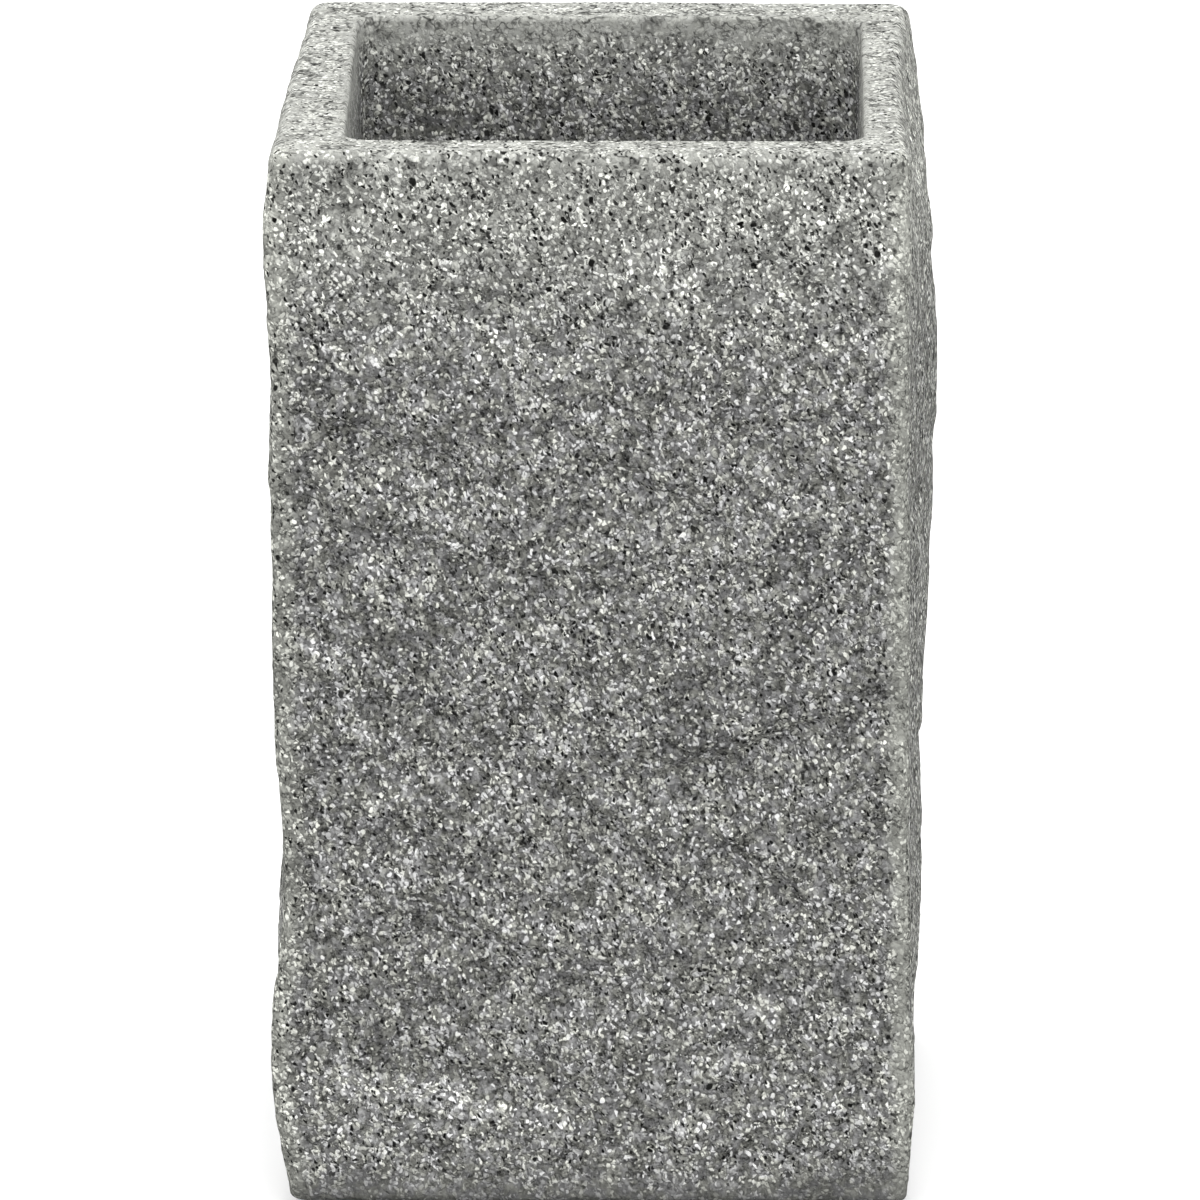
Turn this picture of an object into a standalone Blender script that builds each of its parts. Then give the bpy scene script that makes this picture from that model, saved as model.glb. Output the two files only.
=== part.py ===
"""A stone-effect bathroom tumbler: one block of cast resin and quartz sand, hewn outside and
cored out to a square mouth, on four non-slip feet that sit in shallow pockets of its underside.

Metres, +Z up. The origin is the middle of the block's outline, on the surface that the feet
stand on. The front faces -Y.
"""

import math

import bmesh
import bpy
from mathutils import Vector, noise

# The square block that the casting's faces are hewn from
BLOCK_WIDTH = 0.070
BLOCK_DEPTH = 0.070
RIM_HEIGHT = 0.1125
BLOCK_CORNER_RADIUS = 0.0025
FOOT_EDGE_RADIUS = 0.0018
LIP_OUTER_RADIUS = 0.0016
LIP_INNER_RADIUS = 0.0006

# The cored-out cavity. Its wall is counted from the side of the square block at the rim, and
# the core sits a little nearer the front than the back.
WALL_THICKNESS = 0.0088
FLOOR_THICKNESS = 0.0070
CORE_OFFSET = 0.0008
MOUTH_CORNER_RADIUS = 0.0032
CAVITY_FLOOR_FILLET = 0.0050
CORE_DRAFT = math.radians(1.5)

# The hewn faces
HEWN_DEPTH = 0.0035
RUBBLE_DEPTH = 0.0006
RUBBLE_PITCH = 0.0105
LEDGE_DEPTH = 0.0014
LEDGE_RUN = 0.0010
LEDGE_FADE = 0.0075
LEDGE_END_FADE = 0.0035

# The feet, and the pockets that hold them
FOOT_RADIUS = 0.0045
FOOT_THICKNESS = 0.0020
FOOT_ROUNDING = 0.0005
FOOT_INSET = 0.0135
POCKET_DEPTH = 0.0010
POCKET_CLEARANCE = 0.0004
GLUE_GAP = 0.0003
CUTTER_OVERRUN = 0.0020

# How finely curved faces are divided
CORNER_STEPS = 4
SIDE_STEPS = 19
ARC_STEPS = 3
WALL_ROWS = 38
CAVITY_ROWS = 5
FOOT_SIDES = 32

# Worked out from the sizes above
UNDERSIDE_HEIGHT = FOOT_THICKNESS + GLUE_GAP - POCKET_DEPTH
BLOCK_HEIGHT = RIM_HEIGHT - UNDERSIDE_HEIGHT
CAVITY_FLOOR_HEIGHT = UNDERSIDE_HEIGHT + FLOOR_THICKNESS
RIGHT_ANGLE = math.pi / 2

# How far each face is hewn back, as shares of HEWN_DEPTH. A face has three upright lines, at
# its two edges and its middle, from the one with the lowest X or Y to the one with the
# highest, and each line runs from the underside to the rim in equal steps.
LEFT_SHARES = (
    (0.66, 0.26, 0.24, 0.52, 0.44, 0.27, 0.26, 0.19, 0.27, 0.02, 0.28),
    (0.91, 0.60, 0.40, 0.31, 0.40, 0.48, 0.45, 0.34, 0.24, 0.22, 0.54),
    (0.91, 0.65, 0.54, 0.37, 0.31, 0.37, 0.51, 0.60, 0.48, 0.40, 0.94),
)
RIGHT_SHARES = (
    (0.97, 0.84, 0.88, 0.80, 0.77, 0.77, 0.84, 0.84, 0.83, 0.94, 1.05),
    (0.85, 0.78, 0.46, 0.45, 0.52, 0.41, 0.30, 0.12, 0.14, 0.60, 1.28),
    (0.94, 0.74, 0.64, 0.60, 0.64, 0.56, 0.48, 0.44, 0.50, 0.60, 0.98),
)
FRONT_SHARES = (
    (0.44, 0.20, 0.30, 0.43, 0.48, 0.37, 0.28, 0.25, 0.28, 0.40, 0.63),
    (0.38, 0.16, 0.28, 0.34, 0.31, 0.23, 0.14, 0.17, 0.20, 0.31, 0.63),
    (0.46, 0.26, 0.36, 0.40, 0.28, 0.20, 0.23, 0.25, 0.34, 0.45, 0.65),
)
BACK_SHARES = (
    (0.65, 0.40, 0.28, 0.31, 0.45, 0.54, 0.43, 0.25, 0.20, 0.28, 0.44),
    (0.57, 0.34, 0.23, 0.14, 0.25, 0.40, 0.43, 0.34, 0.20, 0.22, 0.36),
    (0.68, 0.48, 0.40, 0.25, 0.20, 0.28, 0.37, 0.43, 0.34, 0.31, 0.47),
)

# Ledges left by the splitting, as two ends (across, up) of a line on the face, each a share
# of the half width and of the height, and how deep the face is cut back above the line, as a
# share of LEDGE_DEPTH. A negative share cuts it back below the line.
LEFT_LEDGE_SHARES = (
    (-1.00, 0.850, -0.85, 0.845, 0.20),
    (-1.00, 0.690, -0.80, 0.680, -0.20),
    (-1.00, 0.216, -0.80, 0.210, 0.25),
    (-0.70, 0.810, -0.05, 0.770, 0.50),
    (0.10, 0.560, 0.75, 0.600, -0.50),
    (-0.60, 0.360, 0.00, 0.310, 0.40),
    (0.20, 0.190, 0.80, 0.150, 0.50),
)
RIGHT_LEDGE_SHARES = (
    (-0.75, 0.620, -0.10, 0.660, 0.30),
    (0.05, 0.830, 0.70, 0.800, -0.40),
    (-0.40, 0.400, 0.35, 0.350, -0.50),
    (-0.30, 0.185, 0.20, 0.190, 0.25),
    (0.10, 0.200, 0.75, 0.240, 0.50),
)
FRONT_LEDGE_SHARES = (
    (-0.85, 0.127, -0.56, 0.108, 1.30),
    (-0.54, 0.106, -0.37, 0.104, 1.00),
    (-0.34, 0.096, -0.08, 0.078, 0.60),
    (-0.09, 0.130, 0.04, 0.072, -0.60),
    (-0.45, 0.852, -0.31, 0.834, 1.00),
    (-0.29, 0.815, -0.09, 0.806, 1.20),
    (-0.78, 0.750, -0.46, 0.718, -0.80),
    (0.12, 0.704, 0.37, 0.664, -0.80),
    (0.44, 0.724, 0.64, 0.684, 0.45),
    (0.55, 0.905, 0.84, 0.856, -0.50),
    (0.28, 0.424, 0.66, 0.462, -0.75),
    (0.72, 0.440, 0.94, 0.450, 0.60),
    (0.20, 0.394, 0.48, 0.360, 0.90),
    (0.45, 0.346, 0.60, 0.304, -0.70),
    (0.02, 0.380, 0.20, 0.328, -0.50),
    (-0.90, 0.532, -0.61, 0.470, 0.60),
    (-0.62, 0.640, -0.20, 0.610, -0.45),
    (-0.50, 0.290, -0.20, 0.250, -0.45),
    (0.45, 0.200, 0.80, 0.180, 0.40),
)
BACK_LEDGE_SHARES = (
    (-0.70, 0.700, -0.10, 0.740, 0.60),
    (0.15, 0.550, 0.80, 0.500, -0.70),
    (-0.55, 0.300, 0.15, 0.260, 0.70),
    (0.20, 0.860, 0.65, 0.840, 0.50),
    (-0.80, 0.130, -0.35, 0.160, -0.50),
    (-0.30, 0.480, 0.05, 0.450, 0.50),
    (0.35, 0.330, 0.75, 0.370, -0.50),
)


def clear_scene():
    for thing in list(bpy.data.objects):
        bpy.data.objects.remove(thing)


def new_collection(name):
    made = bpy.data.collections.new(name)
    bpy.context.scene.collection.children.link(made)
    return made


def new_material(name, colour, roughness):
    made = bpy.data.materials.new(name)
    made.use_nodes = True
    shader = made.node_tree.nodes["Principled BSDF"]
    shader.inputs["Base Color"].default_value = (*colour, 1)
    shader.inputs["Roughness"].default_value = roughness
    shader.inputs["Metallic"].default_value = 0
    return made


def smooth_through(values, share):
    """The value at a share of the way along evenly spaced values, on a Catmull-Rom curve."""
    last = len(values) - 1
    place = min(max(share, 0), 1) * last
    start = min(int(place), last - 1)
    before, here, there, after = (
        values[min(max(start + step, 0), last)] for step in (-1, 0, 1, 2)
    )
    t = place - start
    rise = (there - before) / 2
    next_rise = (after - here) / 2
    gap = there - here
    bend = 3 * gap - 2 * rise - next_rise
    twist = rise + next_rise - 2 * gap
    return here + t * (rise + t * (bend + t * twist))


def ledge_depth(ledge, across, up, half_run):
    """How far one ledge cuts a face back at a place on it."""
    start_across, start_up, end_across, end_up, depth_share = ledge
    start = Vector((start_across * half_run, start_up * BLOCK_HEIGHT))
    run = Vector((end_across * half_run, end_up * BLOCK_HEIGHT)) - start
    offset = Vector((across * half_run, up * BLOCK_HEIGHT)) - start
    along = offset.dot(run.normalized())
    above = run.normalized().cross(offset)
    if depth_share < 0:
        above = -above
    beyond = max(-along, along - run.length, 0)
    reach = math.exp(-((beyond / LEDGE_END_FADE) ** 2))
    step = (1 + math.tanh(above / LEDGE_RUN)) / 2
    fade = math.exp(-max(above, 0) / LEDGE_FADE)
    return LEDGE_DEPTH * abs(depth_share) * reach * step * fade


def cut_back(lines, ledges, across, up, half_run):
    """How far a face lies behind the side of the square block, apart from its rubble."""
    heights = [smooth_through(line, up) for line in lines]
    broad = HEWN_DEPTH * smooth_through(heights, (1 + across) / 2)
    return broad + sum(ledge_depth(ledge, across, up, half_run) for ledge in ledges)


def rubble(place):
    """The low lumps that the splitting leaves, as a depth behind the face."""
    return RUBBLE_DEPTH * (1 + noise.noise(place / RUBBLE_PITCH)) / 2


def hewn(place):
    """A point of the square block, moved in by as much as the faces beside it are cut back."""
    half_width = BLOCK_WIDTH / 2
    half_depth = BLOCK_DEPTH / 2
    x_share = place.x / half_width
    y_share = place.y / half_depth
    up = (place.z - UNDERSIDE_HEIGHT) / BLOCK_HEIGHT
    loose = rubble(place)
    left = loose + cut_back(LEFT_SHARES, LEFT_LEDGE_SHARES, y_share, up, half_depth)
    right = loose + cut_back(RIGHT_SHARES, RIGHT_LEDGE_SHARES, y_share, up, half_depth)
    front = loose + cut_back(FRONT_SHARES, FRONT_LEDGE_SHARES, x_share, up, half_width)
    back = loose + cut_back(BACK_SHARES, BACK_LEDGE_SHARES, x_share, up, half_width)
    move_x = left * (1 - x_share) / 2 - right * (1 + x_share) / 2
    move_y = front * (1 - y_share) / 2 - back * (1 + y_share) / 2
    return place + Vector((move_x, move_y, 0))


def section(inset, radius, height):
    """A level cut through the square block: a rounded rectangle, inset from its outline."""
    centre_x = BLOCK_WIDTH / 2 - inset - radius
    centre_y = BLOCK_DEPTH / 2 - inset - radius
    corners = [
        Vector((centre_x, centre_y, height)),
        Vector((-centre_x, centre_y, height)),
        Vector((-centre_x, -centre_y, height)),
        Vector((centre_x, -centre_y, height)),
    ]
    points = []
    for quarter, centre in enumerate(corners):
        turn = quarter * RIGHT_ANGLE
        for step in range(CORNER_STEPS + 1):
            angle = turn + RIGHT_ANGLE * step / CORNER_STEPS
            points.append(centre + radius * Vector((math.cos(angle), math.sin(angle), 0)))
        next_turn = turn + RIGHT_ANGLE
        normal = Vector((math.cos(next_turn), math.sin(next_turn), 0))
        start = centre + radius * normal
        end = corners[(quarter + 1) % len(corners)] + radius * normal
        points += [start.lerp(end, step / SIDE_STEPS) for step in range(1, SIDE_STEPS)]
    return points


def outside_sections():
    """From the edge of the underside, up the hewn wall and over the lip's outer rounding."""
    wall_foot = UNDERSIDE_HEIGHT + FOOT_EDGE_RADIUS
    wall_top = RIM_HEIGHT - LIP_OUTER_RADIUS
    levels = []
    for step in range(ARC_STEPS):
        angle = RIGHT_ANGLE * step / ARC_STEPS
        inset = FOOT_EDGE_RADIUS * (1 - math.sin(angle))
        levels.append((inset, wall_foot - FOOT_EDGE_RADIUS * math.cos(angle)))
    for row in range(WALL_ROWS + 1):
        levels.append((0, wall_foot + (wall_top - wall_foot) * row / WALL_ROWS))
    for step in range(1, ARC_STEPS + 1):
        angle = RIGHT_ANGLE * step / ARC_STEPS
        inset = LIP_OUTER_RADIUS * (1 - math.cos(angle))
        levels.append((inset, wall_top + LIP_OUTER_RADIUS * math.sin(angle)))
    square = [section(inset, BLOCK_CORNER_RADIUS, height) for inset, height in levels]
    return [[hewn(point) for point in points] for points in square]


def inside_sections():
    """From the lip's inner rounding down the drafted cavity to the edge of its flat floor."""
    cavity_top = RIM_HEIGHT - LIP_INNER_RADIUS
    wall_foot = CAVITY_FLOOR_HEIGHT + CAVITY_FLOOR_FILLET
    foot_inset = WALL_THICKNESS + (cavity_top - wall_foot) * math.tan(CORE_DRAFT)
    levels = []
    for step in range(ARC_STEPS + 1):
        angle = RIGHT_ANGLE * step / ARC_STEPS
        inset = WALL_THICKNESS - LIP_INNER_RADIUS * (1 - math.sin(angle))
        levels.append((inset, cavity_top + LIP_INNER_RADIUS * math.cos(angle)))
    for row in range(1, CAVITY_ROWS + 1):
        share = row / CAVITY_ROWS
        inset = WALL_THICKNESS + (foot_inset - WALL_THICKNESS) * share
        levels.append((inset, cavity_top + (wall_foot - cavity_top) * share))
    for step in range(1, ARC_STEPS + 1):
        angle = RIGHT_ANGLE * step / ARC_STEPS
        inset = foot_inset + CAVITY_FLOOR_FILLET * (1 - math.cos(angle))
        levels.append((inset, wall_foot - CAVITY_FLOOR_FILLET * math.sin(angle)))
    forward = Vector((0, -CORE_OFFSET, 0))
    square = [section(inset, MOUTH_CORNER_RADIUS, height) for inset, height in levels]
    return [[point + forward for point in points] for points in square]


def cast_body(group, stone):
    """The one casting: a loft through its sections, closed by the underside and the floor."""
    shape = bmesh.new()
    rings = [
        [shape.verts.new(point) for point in points]
        for points in outside_sections() + inside_sections()
    ]
    for lower, upper in zip(rings, rings[1:]):
        for here in range(len(lower)):
            there = (here + 1) % len(lower)
            shape.faces.new((lower[here], lower[there], upper[there], upper[here]))
    shape.faces.new(reversed(rings[0]))
    shape.faces.new(rings[-1])
    mesh = bpy.data.meshes.new("body")
    shape.to_mesh(mesh)
    shape.free()
    mesh.shade_smooth()
    mesh.set_sharp_from_angle(angle=math.radians(50))
    mesh.materials.append(stone)
    body = bpy.data.objects.new("body", mesh)
    group.objects.link(body)
    return body


def foot_places():
    """Name and place of each foot, near the corners of the underside."""
    reach_x = BLOCK_WIDTH / 2 - FOOT_INSET
    reach_y = BLOCK_DEPTH / 2 - FOOT_INSET
    return {
        "foot_front_left": (-reach_x, -reach_y),
        "foot_front_right": (reach_x, -reach_y),
        "foot_back_left": (-reach_x, reach_y),
        "foot_back_right": (reach_x, reach_y),
    }


def cylinder(name, group, radius, bottom, top, x, y):
    """An upright cylinder between two heights, with its size in its mesh and not in a scale."""
    bpy.ops.mesh.primitive_cylinder_add(
        vertices=FOOT_SIDES,
        radius=radius,
        depth=top - bottom,
        location=(x, y, (bottom + top) / 2),
    )
    made = bpy.context.object
    made.name = name
    for holder in list(made.users_collection):
        holder.objects.unlink(made)
    group.objects.link(made)
    return made


def cut_pocket(body, cutters, name, x, y):
    """A shallow round pocket in the underside, a little wider than the foot it takes."""
    cutter = cylinder(
        name + "_pocket",
        cutters,
        FOOT_RADIUS + POCKET_CLEARANCE,
        UNDERSIDE_HEIGHT - CUTTER_OVERRUN,
        UNDERSIDE_HEIGHT + POCKET_DEPTH,
        x,
        y,
    )
    cutter.hide_render = True
    cutter.display_type = "WIRE"
    cut = body.modifiers.new(name + "_pocket", "BOOLEAN")
    cut.operation = "DIFFERENCE"
    cut.object = cutter


def add_foot(group, rubber, name, x, y):
    """A non-slip disc with softened edges, stuck into its pocket and standing proud of it."""
    foot = cylinder(name, group, FOOT_RADIUS, 0, FOOT_THICKNESS, x, y)
    foot.data.materials.append(rubber)
    soften = foot.modifiers.new("softened_edges", "BEVEL")
    soften.width = FOOT_ROUNDING
    soften.segments = 2
    soften.limit_method = "ANGLE"
    foot.data.shade_smooth()
    foot.data.set_sharp_from_angle(angle=math.radians(50))


def main():
    clear_scene()
    group = new_collection("tumbler")
    cutters = new_collection("cutters")
    stone = new_material("speckled_grey_stone", (0.23, 0.23, 0.22), 0.55)
    rubber = new_material("grey_polyurethane", (0.30, 0.31, 0.31), 0.45)
    body = cast_body(group, stone)
    for name, (x, y) in foot_places().items():
        cut_pocket(body, cutters, name, x, y)
        add_foot(group, rubber, name, x, y)


main()
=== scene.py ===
"""How the stone-effect tumbler looks: one casting of resin and quartz sand with hewn faces, on
four soft feet, in plain studio light. Metres, +Z up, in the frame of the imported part.
"""

import math

import bmesh
import bpy
import numpy as np
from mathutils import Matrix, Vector, noise
from mathutils.geometry import tessellate_polygon


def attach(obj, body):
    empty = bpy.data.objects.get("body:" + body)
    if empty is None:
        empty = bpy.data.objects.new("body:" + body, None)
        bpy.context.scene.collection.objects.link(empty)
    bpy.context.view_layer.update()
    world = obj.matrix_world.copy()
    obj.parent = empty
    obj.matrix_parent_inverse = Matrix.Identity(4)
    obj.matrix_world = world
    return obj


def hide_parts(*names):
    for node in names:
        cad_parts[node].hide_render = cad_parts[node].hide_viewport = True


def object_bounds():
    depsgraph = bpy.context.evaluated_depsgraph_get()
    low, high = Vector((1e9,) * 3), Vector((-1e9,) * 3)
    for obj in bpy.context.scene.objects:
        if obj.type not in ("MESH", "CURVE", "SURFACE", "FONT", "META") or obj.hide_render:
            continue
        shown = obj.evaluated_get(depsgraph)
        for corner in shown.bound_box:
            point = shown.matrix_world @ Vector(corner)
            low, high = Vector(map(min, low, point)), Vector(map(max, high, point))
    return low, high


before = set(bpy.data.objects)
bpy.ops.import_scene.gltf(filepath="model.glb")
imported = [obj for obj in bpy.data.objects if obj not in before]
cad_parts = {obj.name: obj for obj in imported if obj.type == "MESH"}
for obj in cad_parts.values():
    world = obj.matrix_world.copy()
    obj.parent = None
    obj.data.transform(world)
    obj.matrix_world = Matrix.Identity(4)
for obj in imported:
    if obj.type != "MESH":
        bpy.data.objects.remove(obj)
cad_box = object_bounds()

# The square block that the casting's faces are hewn from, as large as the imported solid's. Its
# upright corners and the edge of its underside are sharper.
BLOCK_WIDTH = 0.070
BLOCK_DEPTH = 0.070
RIM_HEIGHT = 0.1125
UNDERSIDE_HEIGHT = 0.0013
BLOCK_HEIGHT = RIM_HEIGHT - UNDERSIDE_HEIGHT
BLOCK_CORNER_RADIUS = 0.0014
FOOT_EDGE_RADIUS = 0.0010
LIP_OUTER_RADIUS = 0.0016
LIP_INNER_RADIUS = 0.0006

# The cored-out cavity, likewise
WALL_THICKNESS = 0.0088
FLOOR_THICKNESS = 0.0070
CAVITY_FLOOR_HEIGHT = UNDERSIDE_HEIGHT + FLOOR_THICKNESS
CORE_OFFSET = 0.0008
MOUTH_CORNER_RADIUS = 0.0032
CAVITY_FLOOR_FILLET = 0.0050
CORE_DRAFT = math.radians(1.5)

# The pockets in the underside that hold the feet
POCKET_RADIUS = 0.0049
POCKET_DEPTH = 0.0010
POCKET_SIDES = 64

# The hewn faces' main relief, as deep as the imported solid's, with steeper ledges
HEWN_DEPTH = 0.0035
RUBBLE_DEPTH = 0.0006
RUBBLE_PITCH = 0.0105
LEDGE_DEPTH = 0.0014
LEDGE_RUN = 0.0006
LEDGE_FADE = 0.0075
LEDGE_END_FADE = 0.0035

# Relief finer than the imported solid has: shallow scoops that meet in ridges, chips and ripples
# as depth and pitch of each layer, how far the ledges wander and from which seed, how far all
# that is raised again so that the outline keeps its place, and how far apart in the noise the
# layers lie
SCOOP_DEPTH = 0.0011
SCOOP_PITCH = 0.0065
CHIPS = ((0.00036, 0.0034), (0.00028, 0.0019), (0.00014, 0.0011))
WANDER = 0.0010
WANDER_PITCH = 0.0052
WANDER_SEED = 1
RELIEF_LIFT = 0.00045
CAVITY_RIPPLE = ((0.00008, 0.0040), (0.00005, 0.0016))
RIM_RIPPLE = ((0.00014, 0.0060), (0.00008, 0.0021))
LAYER_SHIFT = (0.31, 0.17, 0.23)

# How much of that relief is left on the side faces and at the rim, how far below the rim it is
# whole again, how much of the scoops is lost at the corners, and where on a face that begins
SIDE_RELIEF_SHARE = 0.6
RIM_RELIEF_SHARE = 0.35
RIM_CALM_HEIGHT = 0.0070
CORNER_CALM_SHARE = 0.7
CORNER_START_SHARE = 0.8

# The name under which the casting's mesh keeps each point's place on the unhewn block, as
# shares of the block's half width, half depth and height
BLOCK_SHARES = "block_shares"

# How finely the casting is divided
POINT_SPACING = 0.00075
CAVITY_ROW_SPACING = 0.0018
CORNER_STEPS = 8
ARC_STEPS = 5
RIM_STEPS = 8
SHARP_ANGLE = math.radians(50)
RIGHT_ANGLE = math.pi / 2

# How far each face is hewn back, as shares of HEWN_DEPTH: three upright lines, at the face's
# edges and middle, each in equal steps from the underside to the rim. The right face's front
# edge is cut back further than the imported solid's.
LEFT_SHARES = (
    (0.66, 0.26, 0.24, 0.52, 0.44, 0.27, 0.26, 0.19, 0.27, 0.02, 0.28),
    (0.91, 0.60, 0.40, 0.31, 0.40, 0.48, 0.45, 0.34, 0.24, 0.22, 0.54),
    (0.91, 0.65, 0.54, 0.37, 0.31, 0.37, 0.51, 0.60, 0.48, 0.40, 0.94),
)
RIGHT_SHARES = (
    (0.97, 0.84, 0.96, 0.98, 0.96, 0.97, 1.02, 1.05, 1.05, 1.06, 1.08),
    (0.85, 0.78, 0.46, 0.45, 0.52, 0.41, 0.30, 0.12, 0.14, 0.60, 1.28),
    (0.94, 0.74, 0.64, 0.60, 0.64, 0.56, 0.48, 0.44, 0.50, 0.60, 0.98),
)
FRONT_SHARES = (
    (0.44, 0.20, 0.30, 0.43, 0.48, 0.37, 0.28, 0.25, 0.28, 0.40, 0.63),
    (0.38, 0.16, 0.28, 0.34, 0.31, 0.23, 0.14, 0.17, 0.20, 0.31, 0.63),
    (0.46, 0.26, 0.36, 0.40, 0.28, 0.20, 0.23, 0.25, 0.34, 0.45, 0.65),
)
BACK_SHARES = (
    (0.65, 0.40, 0.28, 0.31, 0.45, 0.54, 0.43, 0.25, 0.20, 0.28, 0.44),
    (0.57, 0.34, 0.23, 0.14, 0.25, 0.40, 0.43, 0.34, 0.20, 0.22, 0.36),
    (0.68, 0.48, 0.40, 0.25, 0.20, 0.28, 0.37, 0.43, 0.34, 0.31, 0.47),
)

# Ledges left by the splitting: two ends (across, up) of a line on the face, as shares of the
# half width and the height, and how deep the face is cut back above it, as a share of
# LEDGE_DEPTH. A negative share cuts it back below the line.
LEFT_LEDGE_SHARES = (
    (-1.00, 0.850, -0.85, 0.845, 0.20),
    (-1.00, 0.690, -0.80, 0.680, -0.20),
    (-1.00, 0.216, -0.80, 0.210, 0.25),
    (-0.70, 0.810, -0.05, 0.770, 0.50),
    (0.10, 0.560, 0.75, 0.600, -0.50),
    (-0.60, 0.360, 0.00, 0.310, 0.40),
    (0.20, 0.190, 0.80, 0.150, 0.50),
)
RIGHT_LEDGE_SHARES = (
    (-0.75, 0.620, -0.10, 0.660, 0.30),
    (0.05, 0.830, 0.70, 0.800, -0.40),
    (-0.40, 0.400, 0.35, 0.350, -0.50),
    (-0.30, 0.185, 0.20, 0.190, 0.25),
    (0.10, 0.200, 0.75, 0.240, 0.50),
)
FRONT_LEDGE_SHARES = (
    (-0.85, 0.127, -0.56, 0.108, 1.30),
    (-0.54, 0.106, -0.37, 0.104, 1.00),
    (-0.34, 0.096, -0.08, 0.078, 0.60),
    (-0.09, 0.130, 0.04, 0.072, -0.60),
    (-0.45, 0.852, -0.31, 0.834, 1.00),
    (-0.29, 0.815, -0.09, 0.806, 1.20),
    (-0.78, 0.750, -0.46, 0.718, -0.80),
    (0.12, 0.704, 0.37, 0.664, -0.80),
    (0.44, 0.724, 0.64, 0.684, 0.45),
    (0.55, 0.905, 0.84, 0.856, -0.50),
    (0.28, 0.424, 0.66, 0.462, -0.75),
    (0.72, 0.440, 0.94, 0.450, 0.60),
    (0.20, 0.394, 0.48, 0.360, 0.90),
    (0.45, 0.346, 0.60, 0.304, -0.70),
    (0.02, 0.380, 0.20, 0.328, -0.50),
    (-0.90, 0.532, -0.61, 0.470, 0.60),
    (-0.62, 0.640, -0.20, 0.610, -0.45),
    (-0.50, 0.290, -0.20, 0.250, -0.45),
    (0.45, 0.200, 0.80, 0.180, 0.40),
)
BACK_LEDGE_SHARES = (
    (-0.70, 0.700, -0.10, 0.740, 0.60),
    (0.15, 0.550, 0.80, 0.500, -0.70),
    (-0.55, 0.300, 0.15, 0.260, 0.70),
    (0.20, 0.860, 0.65, 0.840, 0.50),
    (-0.80, 0.130, -0.35, 0.160, -0.50),
    (-0.30, 0.480, 0.05, 0.450, 0.50),
    (0.35, 0.330, 0.75, 0.370, -0.50),
)

# The camera: where it aims, how far off it stands, and its picture's width in the scene's frame
CAMERA_AIM = Vector((-0.0007, -0.0008, 0.0566))
CAMERA_DISTANCE = 1.47
CAMERA_PITCH = math.radians(15.99)
CAMERA_YAW = math.radians(0.655)
CAMERA_SENSOR = 36
CAMERA_LENS = 424.56

# The light, as the brightness that it gives a white surface square to it
SKY_LIGHT = 1.15
TOP_LIGHT = 0.75
TOP_LIGHT_TILT = math.radians(10)
TOP_LIGHT_SPREAD = math.radians(80)

# The floor: its width, how far it lies under the feet, and its shade as light and as the eye
# meet it
FLOOR_WIDTH = 8.0
FLOOR_GAP = 0.00005
FLOOR_SHADE = 0.20
FLOOR_SHADE_SEEN = 0.92


def smooth_through(values, share):
    """The values at shares of the way along evenly spaced rows, on a Catmull-Rom curve."""
    last = len(values) - 1
    place = np.clip(share, 0, 1) * last
    start = np.minimum(place.astype(int), last - 1)
    columns = np.arange(len(share))
    before, here, there, after = (
        values[np.clip(start + step, 0, last), columns] for step in (-1, 0, 1, 2)
    )
    t = place - start
    rise = (there - before) / 2
    next_rise = (after - here) / 2
    gap = there - here
    bend = 3 * gap - 2 * rise - next_rise
    twist = rise + next_rise - 2 * gap
    return here + t * (rise + t * (bend + t * twist))


def ledge_depth(ledge, across, up, half_run):
    """How far one ledge cuts a face back at places on it."""
    start_across, start_up, end_across, end_up, depth_share = ledge
    run = np.array(((end_across - start_across) * half_run, (end_up - start_up) * BLOCK_HEIGHT))
    length = np.hypot(*run)
    run = run / length
    offset_across = (across - start_across) * half_run
    offset_up = (up - start_up) * BLOCK_HEIGHT
    along = offset_across * run[0] + offset_up * run[1]
    above = (offset_up * run[0] - offset_across * run[1]) * np.sign(depth_share)
    beyond = np.maximum(np.maximum(-along, along - length), 0)
    reach = np.exp(-((beyond / LEDGE_END_FADE) ** 2))
    step = (1 + np.tanh(above / LEDGE_RUN)) / 2
    fade = np.exp(-np.maximum(above, 0) / LEDGE_FADE)
    return LEDGE_DEPTH * abs(depth_share) * reach * step * fade


def cut_back(lines, ledges, across, up, half_run):
    """How far a face lies behind the side of the square block, apart from its rubble."""
    count = len(across)
    heights = np.array(
        [smooth_through(np.repeat(np.array(line)[:, None], count, 1), up) for line in lines]
    )
    broad = HEWN_DEPTH * smooth_through(heights, (1 + across) / 2)
    return broad + sum(ledge_depth(ledge, across, up, half_run) for ledge in ledges)


def lumps(places, depth, pitch):
    """Low lumps, as a depth from nothing to the one given."""
    values = [noise.noise(Vector(place) / pitch) for place in places]
    return depth * (1 + np.array(values)) / 2


def layered(places, layers):
    """Several layers of lumps on each other, each seen from another place in the noise."""
    shift = np.array(LAYER_SHIFT)
    return sum(
        lumps(places + shift * (number + 1), depth, pitch)
        for number, (depth, pitch) in enumerate(layers)
    )


def scoops(places):
    """Smooth hollows that meet in sharp ridges, as stone splits."""
    values = [noise.noise(Vector(place) / SCOOP_PITCH) for place in places]
    return SCOOP_DEPTH * np.abs(values)


def wandered(places):
    """The same points, pushed to and fro, for looking up ledges that don't run straight."""
    pushes = [noise.noise_vector(Vector(place) / WANDER_PITCH) for place in places]
    return places + WANDER * np.array(pushes)


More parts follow.
